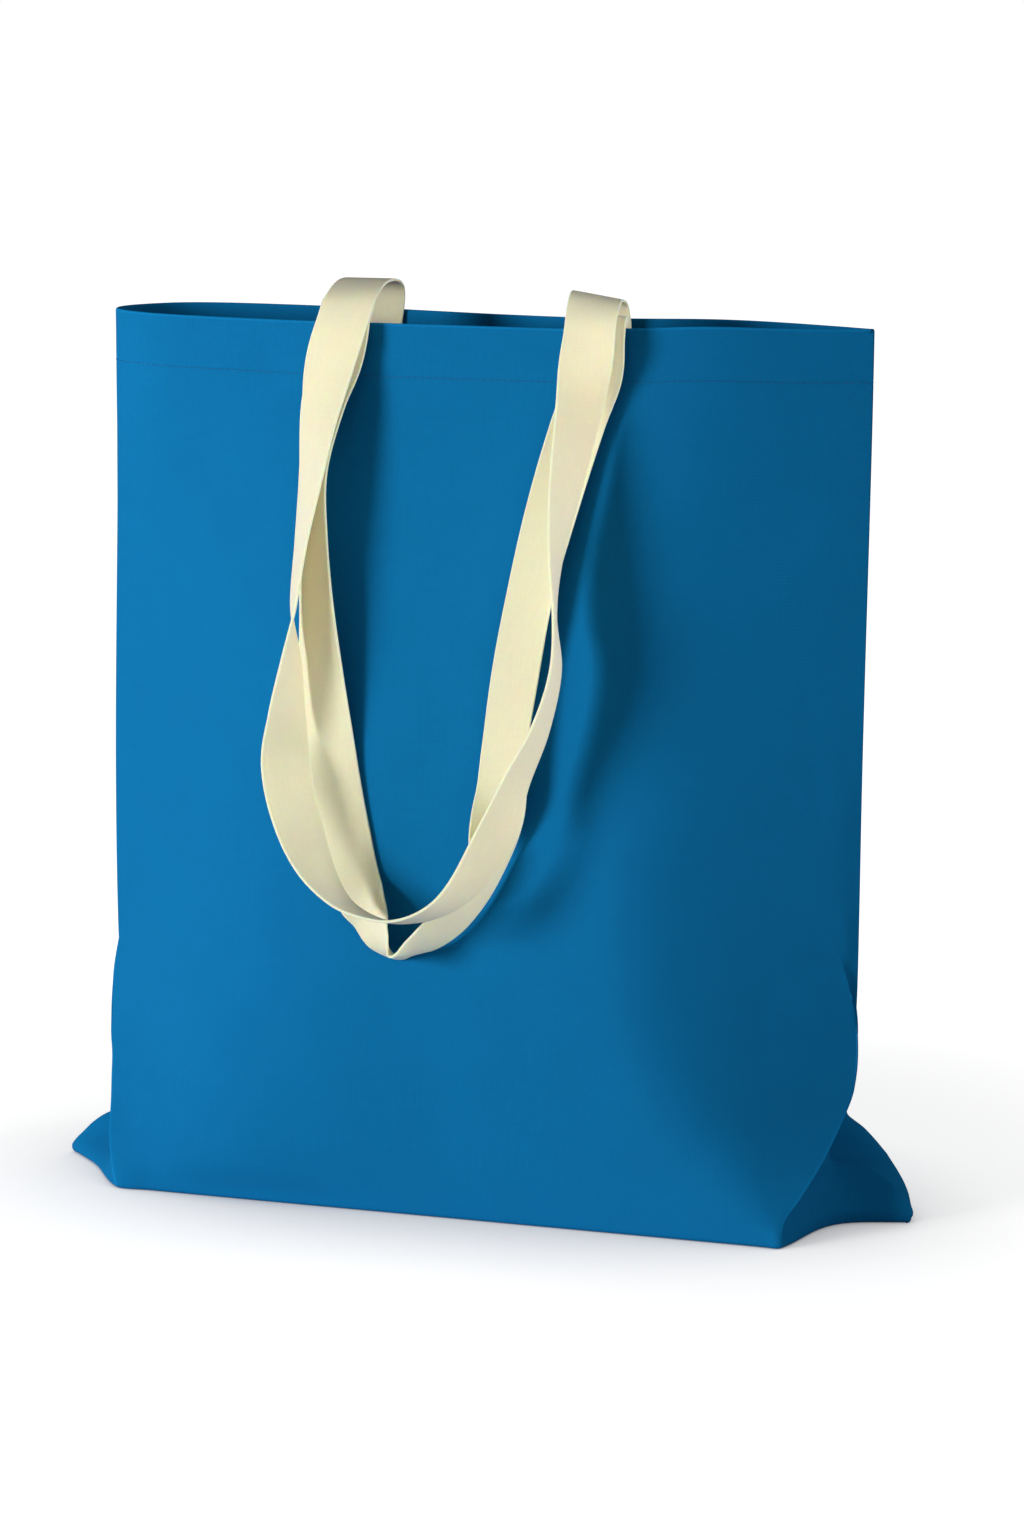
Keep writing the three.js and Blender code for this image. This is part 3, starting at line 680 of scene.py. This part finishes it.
def tape_rows(route):
    """Smooth rows along a handle: middles and the directions across and through it."""
    table = np.array(route, float)
    reach = np.sqrt(np.linalg.norm(np.diff(table[:, :3], axis=0), axis=1))[:, None]
    rise = np.diff(table, axis=0) / reach
    slope = np.zeros_like(table)
    slope[0], slope[-1] = rise[0], rise[-1]
    slope[1:-1] = (rise[:-1] * reach[1:] + rise[1:] * reach[:-1]) / (reach[1:] + reach[:-1])
    rows = []
    for i in range(len(table) - 1):
        for k in range(TAPE_STEPS):
            rows.append(hermite(
                table[i], reach[i] * slope[i], table[i + 1], reach[i] * slope[i + 1], k / TAPE_STEPS,
            ))
    rows.append(table[-1])
    rows = np.array(rows)
    middles = rows[:, :3]
    along = unit(np.gradient(middles, axis=0))
    across = unit(rows[:, 3:] - along * np.sum(rows[:, 3:] * along, axis=1, keepdims=True))
    return middles, across, np.cross(along, across)


def tape_mesh(name, route, settings):
    """One handle along its route, with thin grooves beside its edges, and the tape's length in metres."""
    width = settings.tape_width / MM
    thickness = settings.tape_thickness / MM
    middles, across, through = tape_rows(route)
    half, edge = width / 2.0, thickness / 2.0
    side = half - edge
    flat = np.array([-1.0, -0.93, -0.86, -0.6, -0.3, 0.0, 0.3, 0.6, 0.86, 0.93, 1.0]) * side
    groove = 1.0 - 0.2 * np.exp(-((np.abs(flat) - 0.93 * side) / 0.5) ** 2)
    turns = np.radians([-60.0, -30.0, 0.0, 30.0, 60.0])
    outline = [(p, -edge * g) for p, g in zip(flat, groove)]
    outline += [(side + edge * math.cos(t), edge * math.sin(t)) for t in turns]
    outline += [(p, edge * g) for p, g in zip(flat[::-1], groove[::-1])]
    outline += [(-side - edge * math.cos(t), -edge * math.sin(t)) for t in turns]
    outline = np.array(outline)
    count, corners = len(middles), len(outline)
    points = (
        middles[:, None] + across[:, None] * outline[None, :, :1] + through[:, None] * outline[None, :, 1:]
    )
    run = run_along(middles) * MM
    faces = ring_faces(count, corners)
    uv = []
    for r in range(count - 1):
        for c in range(corners):
            d = (c + 1) % corners
            uv.extend((
                (outline[c, 0] * MM, run[r]), (outline[d, 0] * MM, run[r]),
                (outline[d, 0] * MM, run[r + 1]), (outline[c, 0] * MM, run[r + 1]),
            ))
    for ring, order in ((0, -1), (count - 1, 1)):
        faces.append(tuple(range(ring * corners, (ring + 1) * corners))[::order])
        uv.extend((outline[c, 0] * MM, run[ring]) for c in range(corners)[::order])
    return make_mesh(name, points.reshape(-1, 3), faces, uv), run[-1]


def stitch_tree():
    """Node group that lays stitches end to end along the edges of a mesh."""
    tree = bpy.data.node_groups.new("stitch_row", "GeometryNodeTree")
    tree.interface.new_socket("Geometry", in_out="INPUT", socket_type="NodeSocketGeometry")
    for name in ("Stitch", "Gap", "Thickness"):
        tree.interface.new_socket(name, in_out="INPUT", socket_type="NodeSocketFloat")
    tree.interface.new_socket("Thread", in_out="INPUT", socket_type="NodeSocketMaterial")
    tree.interface.new_socket("Geometry", in_out="OUTPUT", socket_type="NodeSocketGeometry")
    enter = tree.nodes.new("NodeGroupInput")
    leave = tree.nodes.new("NodeGroupOutput")
    line = tree.nodes.new("GeometryNodeMeshToCurve")
    step = tree.nodes.new("ShaderNodeMath")
    step.operation = "ADD"
    places = tree.nodes.new("GeometryNodeCurveToPoints")
    places.mode = "LENGTH"
    bead = tree.nodes.new("GeometryNodeMeshUVSphere")
    bead.inputs["Segments"].default_value = 8
    bead.inputs["Rings"].default_value = 6
    bead.inputs["Radius"].default_value = 0.5
    size = tree.nodes.new("ShaderNodeCombineXYZ")
    laid = tree.nodes.new("GeometryNodeInstanceOnPoints")
    solid = tree.nodes.new("GeometryNodeRealizeInstances")
    dyed = tree.nodes.new("GeometryNodeSetMaterial")
    joins = (
        (enter.outputs["Geometry"], line.inputs["Mesh"]),
        (enter.outputs["Stitch"], step.inputs[0]),
        (enter.outputs["Gap"], step.inputs[1]),
        (line.outputs["Curve"], places.inputs["Curve"]),
        (step.outputs[0], places.inputs["Length"]),
        (enter.outputs["Thickness"], size.inputs["X"]),
        (enter.outputs["Thickness"], size.inputs["Y"]),
        (enter.outputs["Stitch"], size.inputs["Z"]),
        (places.outputs["Points"], laid.inputs["Points"]),
        (bead.outputs["Mesh"], laid.inputs["Instance"]),
        (places.outputs["Rotation"], laid.inputs["Rotation"]),
        (size.outputs["Vector"], laid.inputs["Scale"]),
        (laid.outputs["Instances"], solid.inputs["Geometry"]),
        (solid.outputs["Geometry"], dyed.inputs["Geometry"]),
        (enter.outputs["Thread"], dyed.inputs["Material"]),
        (dyed.outputs["Geometry"], leave.inputs["Geometry"]),
    )
    for source, target in joins:
        tree.links.new(source, target)
    return tree


def sewn(name, loops, tree, thread, settings):
    """Stitches along closed loops of points in millimetres, as one plain mesh piece."""
    points = []
    edges = []
    for loop in loops:
        first = len(points)
        count = len(loop)
        points.extend((np.asarray(loop) * MM).tolist())
        edges.extend((first + k, first + (k + 1) % count) for k in range(count))
    guide = bpy.data.meshes.new(name + "_guide")
    guide.from_pydata(points, edges, [])
    piece = bpy.data.objects.new(name, guide)
    bpy.context.scene.collection.objects.link(piece)
    modifier = piece.modifiers.new("stitches", "NODES")
    modifier.node_group = tree
    values = {
        "Stitch": settings.stitch_length, "Gap": settings.stitch_gap,
        "Thickness": settings.thread_thickness, "Thread": thread,
    }
    for item in tree.interface.items_tree:
        if item.in_out == "INPUT" and item.name in values:
            modifier[item.identifier] = values[item.name]
    graph = bpy.context.evaluated_depsgraph_get()
    mesh = bpy.data.meshes.new_from_object(piece.evaluated_get(graph))
    piece.modifiers.clear()
    piece.data = mesh
    mesh.name = name
    mesh.polygons.foreach_set("use_smooth", np.ones(len(mesh.polygons), bool))
    return piece


def hem_loop(settings):
    """The line of the hem's stitches, proud of the cloth by as much as they dent it."""
    top = settings.height / MM
    hem = settings.hem_depth / MM
    heights = wall_heights(top, hem)
    row = int(np.argmin(np.abs(heights - (top - hem))))
    return dressed_wall(heights, top)[row]


def end_loops(route, inner_side, settings):
    """Boxes of stitches at both ends of a handle, on the face that looks into the bag."""
    middles, across, through = tape_rows(route)
    reach = settings.tape_width / MM / 2.0 - BOX_INSET
    lift = settings.tape_thickness / MM / 2.0
    loops = []
    for rows in (range(len(middles)), range(len(middles))[::-1]):
        above = next(k for k in rows if middles[k, 2] > BOX_TO)
        run = [k for k in rows if (k - above) * rows.step < 0 and middles[k, 2] > BOX_FROM]
        face = [through[k] * lift * math.copysign(1.0, through[k, 1] * inner_side) for k in run]
        up = [middles[k] + across[k] * reach + f for k, f in zip(run, face)]
        down = [middles[k] - across[k] * reach + f for k, f in zip(run, face)]
        loops.append(up + down[::-1])
    return loops


class Strand:
    """A shader socket that can stand in a Python expression."""

    def __init__(self, board, socket):
        self.board = board
        self.socket = socket

    def _math(self, operation, first, second=0.0):
        return self.board.add("ShaderNodeMath", {"operation": operation}, [first, second])

    def __add__(self, other):
        return self._math("ADD", self, other)

    __radd__ = __add__

    def __mul__(self, other):
        return self._math("MULTIPLY", self, other)

    __rmul__ = __mul__

    def sine(self):
        return self._math("SINE", self)

    def size(self):
        return self._math("ABSOLUTE", self)

    def ramp(self, low, high):
        """0 below low, 1 above high, smooth between."""
        return self.board.add(
            "ShaderNodeMapRange", {"interpolation_type": "SMOOTHSTEP"},
            {"Value": self, "From Min": low, "From Max": high},
        )


class Board:
    """Puts nodes into a material's tree and joins them up."""

    def __init__(self, name):
        self.material = bpy.data.materials.new(name)
        self.material.use_nodes = True
        self.tree = self.material.node_tree
        self.tree.nodes.clear()
        self.output = self.tree.nodes.new("ShaderNodeOutputMaterial")

    def feed(self, socket, value):
        if isinstance(value, Strand):
            self.tree.links.new(value.socket, socket)
        else:
            socket.default_value = value

    def add(self, kind, settings=None, inputs=None, output=0):
        """Adds a node: its settings first, then the values or links of its sockets."""
        node = self.tree.nodes.new(kind)
        for key, value in (settings or {}).items():
            setattr(node, key, value)
        pairs = inputs.items() if isinstance(inputs, dict) else enumerate(inputs or [])
        for key, value in pairs:
            self.feed(node.inputs[key], value)
        return Strand(self, node.outputs[output])

    def mix(self, factor, first, second):
        return self.add("ShaderNodeMix", {"data_type": "RGBA"}, {0: factor, 6: first, 7: second}, 2)

    def noise(self, place, scale, detail=2.0):
        return self.add(
            "ShaderNodeTexNoise", {"noise_dimensions": "3D"},
            {"Vector": place, "Scale": scale, "Detail": detail}, "Fac",
        )

    def threads(self):
        """Places on the cloth in metres: all of them, then across it and along it."""
        place = self.add("ShaderNodeUVMap", {"uv_map": "thread"})
        across = self.add("ShaderNodeSeparateXYZ", None, [place])
        return place, across, Strand(self, across.socket.node.outputs[1])

    def stretched(self, place, size):
        return self.add("ShaderNodeMapping", None, {"Vector": place, "Scale": size})

    def close(self, shader):
        self.tree.links.new(shader.socket, self.output.inputs["Surface"])
        return self.material


def shade(colour, factor):
    return tuple(channel * factor for channel in colour[:3]) + (1.0,)


def woven_height(across, along, pitch):
    """Height of a plain weave, 0 to 1, from places across and along the cloth in metres."""
    turn = math.pi / pitch
    warp = (across * turn).sine()
    weft = (along * turn).sine()
    return (warp * weft) * 0.5 + 0.5


def cloth_finish(settings):
    """Dyed cotton canvas: a plain weave with uneven yarn, a faint cloudiness and a painted highlight along
    its creases and rim.
    """
    board = Board("blue_canvas")
    place, across, along = board.threads()
    where = board.add("ShaderNodeTexCoord", None, None, "Object")
    weave = woven_height(across, along, settings.thread_pitch)
    yarn_up = board.noise(board.stretched(place, (1500.0, 40.0, 1.0)), 1.0)
    yarn_round = board.noise(board.stretched(place, (40.0, 1500.0, 1.0)), 1.0)
    cloud = board.noise(where, 22.0, 3.0)
    yarn = yarn_up * 0.5 + yarn_round * 0.5
    light = weave * 0.35 + yarn * 0.45 + cloud * 0.2
    blue = settings.cloth_colour
    colour = board.mix(light.ramp(0.2, 0.8), shade(blue, 0.88), shade(blue, 1.12))
    # Painted highlight: the fold attribute makes the canvas paler along the creases and the rim, where
    # light catches the folds.
    fold = board.add("ShaderNodeAttribute", {"attribute_name": "fold"}, None, "Fac")
    colour = board.mix(fold * 0.6, colour, shade(blue, 1.55))
    height = weave * 0.6 + yarn * 0.7
    bump = board.add("ShaderNodeBump", None, {"Strength": 0.35, "Distance": 0.00025, "Height": height})
    rough = 0.82 + yarn * 0.14
    shader = board.add("ShaderNodeBsdfPrincipled", None, {
        "Base Color": colour, "Roughness": rough, "Normal": bump, "Specular IOR Level": 0.03,
    })
    return board.close(shader)


def tape_finish(settings):
    """Natural cotton tape: fine lengthwise ribs, uneven yarn and a paler edge, partly the woven selvedge
    and partly a painted highlight.
    """
    board = Board("natural_tape")
    place, across, along = board.threads()
    where = board.add("ShaderNodeTexCoord", None, None, "Object")
    weave = woven_height(across, along, TAPE_PITCH)
    yarn = board.noise(board.stretched(place, (2200.0, 90.0, 1.0)), 1.0)
    weft = board.noise(board.stretched(place, (90.0, 2000.0, 1.0)), 1.0)
    cloud = board.noise(where, 30.0, 3.0)
    light = weave * 0.3 + yarn * 0.35 + weft * 0.2 + cloud * 0.15
    cream = settings.tape_colour
    colour = board.mix(light.ramp(0.25, 0.75), shade(cream, 0.92), shade(cream, 1.04))
    # Paler edge: partly the selvedge's own yarn and partly a painted highlight along both edges of the
    # tape.
    half = settings.tape_width / 2.0
    edge = across.size().ramp(half - TAPE_EDGE, half - TAPE_EDGE_FULL)
    colour = board.mix(edge, colour, shade(cream, 1.07))
    height = weave * 0.6 + yarn * 0.6 + weft * 0.3
    bump = board.add("ShaderNodeBump", None, {"Strength": 0.35, "Distance": 0.0002, "Height": height})
    shader = board.add("ShaderNodeBsdfPrincipled", None, {
        "Base Color": colour, "Roughness": 0.84 + yarn * 0.12, "Normal": bump,
        "Specular IOR Level": 0.1, "Subsurface Weight": 1.0, "Subsurface Scale": 0.0014,
        "Subsurface Radius": (1.0, 0.7, 0.35),
    })
    return board.close(shader)


def thread_finish(name, colour):
    """Twisted sewing thread."""
    board = Board(name)
    where = board.add("ShaderNodeTexCoord", None, None, "Object")
    ply = board.noise(where, 2600.0, 1.0)
    tone = board.mix(ply, shade(colour, 0.8), shade(colour, 1.1))
    shader = board.add("ShaderNodeBsdfPrincipled", None, {
        "Base Color": tone, "Roughness": 0.62 + ply * 0.2, "Specular IOR Level": 0.35,
    })
    return board.close(shader)


def floor_finish(settings):
    """Pale matt floor that runs out to white, keeps the shadow of what stands on it, and has a painted
    contact shadow round the bag.
    """
    board = Board("pale_floor")
    where = board.add("ShaderNodeTexCoord", None, None, "Object")
    away = board.add("ShaderNodeVectorMath", {"operation": "LENGTH"}, [where], 1)
    grain = board.noise(where, 6.0, 2.0)
    tone = board.mix(grain, shade(settings.floor_colour, 0.99), shade(settings.floor_colour, 1.0))
    path = board.add("ShaderNodeLightPath", None, None, "Is Camera Ray")
    tone = board.mix(path, shade(settings.floor_colour, settings.floor_bounce), tone)
    matt = board.add("ShaderNodeBsdfDiffuse", None, {"Color": tone})
    # Painted shadow: less white is added within about half a metre of the bag, and ambient occlusion cuts
    # the white further, which paints a contact shadow round the bag.
    near = board.add("ShaderNodeAmbientOcclusion", {"samples": 8}, {"Distance": 0.1}, "AO")
    lift = away.ramp(0.24, 0.55) * (1.0 - settings.floor_lift) + settings.floor_lift
    lift = lift * near
    glow = board.add("ShaderNodeEmission", None, {"Color": (1, 1, 1, 1), "Strength": path * lift})
    return board.close(board.add("ShaderNodeAddShader", None, [matt, glow]))


def amount(name, description, default, kind="NONE"):
    return bpy.props.FloatProperty(name=name, description=description, default=default, unit=kind)


def colour_setting(name, description, default):
    return bpy.props.FloatVectorProperty(
        name=name, description=description, subtype="COLOR", size=4, default=default, min=0.0, max=1.0,
    )


class ToteBagSettings(bpy.types.PropertyGroup):
    """Sizes and colours of the tote bag."""

    height: amount("Height", "Floor to rim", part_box("bag_body")[1][2], "LENGTH")
    hem_depth: amount("Hem depth", "How far the mouth is turned in", 0.025, "LENGTH")
    cloth_thickness: amount("Cloth thickness", "One layer of canvas", 0.0008, "LENGTH")
    thread_pitch: amount("Thread pitch", "Distance between threads of the canvas", 0.00062, "LENGTH")
    tape_width: amount("Tape width", "Width of a handle", 0.025, "LENGTH")
    tape_thickness: amount("Tape thickness", "Thickness of a handle", 0.0014, "LENGTH")
    stitch_length: amount("Stitch length", "Length of one stitch", 0.0027, "LENGTH")
    stitch_gap: amount("Stitch gap", "Cloth between two stitches", 0.0007, "LENGTH")
    thread_thickness: amount("Thread thickness", "Thickness of the sewing thread", 0.0005, "LENGTH")
    cloth_colour: colour_setting("Cloth colour", "Dye of the canvas", (0.0048, 0.190, 0.455, 1.0))
    tape_colour: colour_setting("Tape colour", "Natural cotton of the handles", (0.95, 0.87, 0.63, 1.0))


class StudioSettings(bpy.types.PropertyGroup):
    """The floor, the lamps and the view."""

    floor_colour: colour_setting("Floor colour", "Colour of the floor", (0.6, 0.6, 0.6, 1.0))
    floor_lift: amount("Floor lift", "White added to the floor in the picture", 0.8)
    floor_bounce: amount("Floor bounce", "How much of its colour the floor throws back", 1.4)
    key_power: amount("Key lamp", "Power of the large soft lamp at the left", 64.0, "POWER")
    side_power: amount("Side lamp", "Power of the weak lamp at the right", 10.0, "POWER")
    fill_power: amount("Handle lamp", "Power of the lamp that lights the handles only", 46.0, "POWER")
    sky_strength: amount("Sky", "Strength of the even light from all round", 0.14)


def away_from_middle(turn_degrees, tilt_degrees):
    """Direction from the bag to something that looks at it, turned from the front and tilted up."""
    turn, tilt = math.radians(turn_degrees), math.radians(tilt_degrees)
    return Vector((math.sin(turn) * math.cos(tilt), -math.cos(turn) * math.cos(tilt), math.sin(tilt)))


def finished_piece(piece, nodes):
    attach(piece, "root")
    if nodes:
        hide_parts(*nodes)


class TOTE_OT_cloth(bpy.types.Operator):
    """Makes the body of the bag from one folded length of canvas"""

    bl_idname = "tote.cloth"
    bl_label = "Bag body"

    def execute(self, context):
        settings = context.scene.tote_bag
        piece = show("bag_cloth", body_mesh(settings), cloth_finish(settings))
        finished_piece(piece, ["bag_body"])
        return {"FINISHED"}


class TOTE_OT_handles(bpy.types.Operator):
    """Makes both tape handles"""

    bl_idname = "tote.handles"
    bl_label = "Tape handles"

    def execute(self, context):
        settings = context.scene.tote_bag
        finish = tape_finish(settings)
        handles = (
            ("front_tape", FRONT_HANDLE_ROUTE, "front_handle"),
            ("back_tape", BACK_HANDLE_ROUTE, "back_handle"),
        )
        for name, route, node in handles:
            mesh, length = tape_mesh(name, route, settings)
            piece = show(name, mesh, finish)
            bpy.data.collections[HANDLE_GROUP].objects.link(piece)
            finished_piece(piece, [node])
        return {"FINISHED"}


class TOTE_OT_sewing(bpy.types.Operator):
    """Sews the hem and the ends of the handles"""

    bl_idname = "tote.sewing"
    bl_label = "Sewing"

    def execute(self, context):
        settings = context.scene.tote_bag
        tree = stitch_tree()
        blue = thread_finish("blue_thread", shade(settings.cloth_colour, 0.85))
        cream = thread_finish("natural_thread", shade(settings.tape_colour, 0.9))
        hem = sewn("hem_stitches", [hem_loop(settings)], tree, blue, settings)
        finished_piece(hem, [])
        ends = end_loops(FRONT_HANDLE_ROUTE, 1.0, settings) + end_loops(BACK_HANDLE_ROUTE, -1.0, settings)
        boxes = sewn("handle_stitches", ends, tree, cream, settings)
        finished_piece(boxes, [])
        return {"FINISHED"}


class TOTE_OT_studio(bpy.types.Operator):
    """Makes the floor, the lamps and the camera"""

    bl_idname = "tote.studio"
    bl_label = "Studio"

    def execute(self, context):
        scene = context.scene
        settings = scene.tote_studio
        mesh = bpy.data.meshes.new("floor")
        corners = [(x * FLOOR_REACH, y * FLOOR_REACH, 0) for x, y in ((-1, -1), (1, -1), (1, 1), (-1, 1))]
        mesh.from_pydata(corners, [], [(0, 1, 2, 3)])
        floor = show("floor", mesh, floor_finish(settings))

        world = bpy.data.worlds.new("studio")
        scene.world = world
        world.use_nodes = True
        tree = world.node_tree
        tree.nodes.clear()
        path = tree.nodes.new("ShaderNodeLightPath")
        plain = tree.nodes.new("ShaderNodeBackground")
        plain.inputs["Strength"].default_value = settings.sky_strength
        white = tree.nodes.new("ShaderNodeBackground")
        for light in (plain, white):
            light.inputs["Color"].default_value = (1, 1, 1, 1)
        choice = tree.nodes.new("ShaderNodeMixShader")
        output = tree.nodes.new("ShaderNodeOutputWorld")
        tree.links.new(path.outputs["Is Camera Ray"], choice.inputs["Fac"])
        tree.links.new(plain.outputs[0], choice.inputs[1])
        tree.links.new(white.outputs[0], choice.inputs[2])
        tree.links.new(choice.outputs[0], output.inputs["Surface"])

        handle_group = bpy.data.collections.new(HANDLE_GROUP)
        for name, turn, tilt, size, power, handles_only in LAMPS:
            lamp = bpy.data.lights.new(name, "AREA")
            lamp.shape = "DISK"
            lamp.size = size
            lamp.energy = getattr(settings, power)
            way = away_from_middle(turn, tilt)
            light = bpy.data.objects.new(name, lamp)
            light.location = Vector((0, 0, LAMP_AIM_HEIGHT)) + way * LAMP_DISTANCE
            light.rotation_euler = way.to_track_quat("Z", "Y").to_euler()
            scene.collection.objects.link(light)
            if handles_only:
                light.light_linking.receiver_collection = handle_group

        back = away_from_middle(VIEW_TURN, VIEW_TILT)
        right = Vector((math.cos(math.radians(VIEW_TURN)), math.sin(math.radians(VIEW_TURN)), 0.0))
        aim = right * VIEW_AIM_SIDE + Vector((0, 0, VIEW_AIM_HEIGHT))
        data = bpy.data.cameras.new("view")
        data.sensor_fit = "AUTO"
        data.sensor_width = SENSOR_WIDTH
        data.lens = VIEW_LENS
        camera = bpy.data.objects.new("view", data)
        camera.location = aim + back * VIEW_DISTANCE
        camera.rotation_euler = back.to_track_quat("Z", "Y").to_euler()
        scene.collection.objects.link(camera)
        scene.camera = camera
        scene.view_settings.view_transform = "Standard"
        return {"FINISHED"}


class TOTE_PT_panel(bpy.types.Panel):
    """Lists the steps that make the bag"""

    bl_idname = "TOTE_PT_panel"
    bl_label = "Tote bag"
    bl_space_type = "VIEW_3D"
    bl_region_type = "UI"
    bl_category = "Tote bag"

    def draw(self, context):
        layout = self.layout
        for operator in OPERATORS:
            layout.operator(operator.bl_idname)
        for settings in (context.scene.tote_bag, context.scene.tote_studio):
            box = layout.box()
            for name in settings.__annotations__:
                box.prop(settings, name)


OPERATORS = (TOTE_OT_studio, TOTE_OT_cloth, TOTE_OT_handles, TOTE_OT_sewing)
CLASSES = (ToteBagSettings, StudioSettings, *OPERATORS, TOTE_PT_panel)


def register():
    for entry in CLASSES:
        bpy.utils.register_class(entry)
    bpy.types.Scene.tote_bag = bpy.props.PointerProperty(type=ToteBagSettings)
    bpy.types.Scene.tote_studio = bpy.props.PointerProperty(type=StudioSettings)


def unregister():
    del bpy.types.Scene.tote_studio
    del bpy.types.Scene.tote_bag
    for entry in reversed(CLASSES):
        bpy.utils.unregister_class(entry)


def main():
    register()
    bpy.ops.tote.studio()
    bpy.ops.tote.cloth()
    bpy.ops.tote.handles()
    bpy.ops.tote.sewing()


if __name__ == "__main__":
    main()
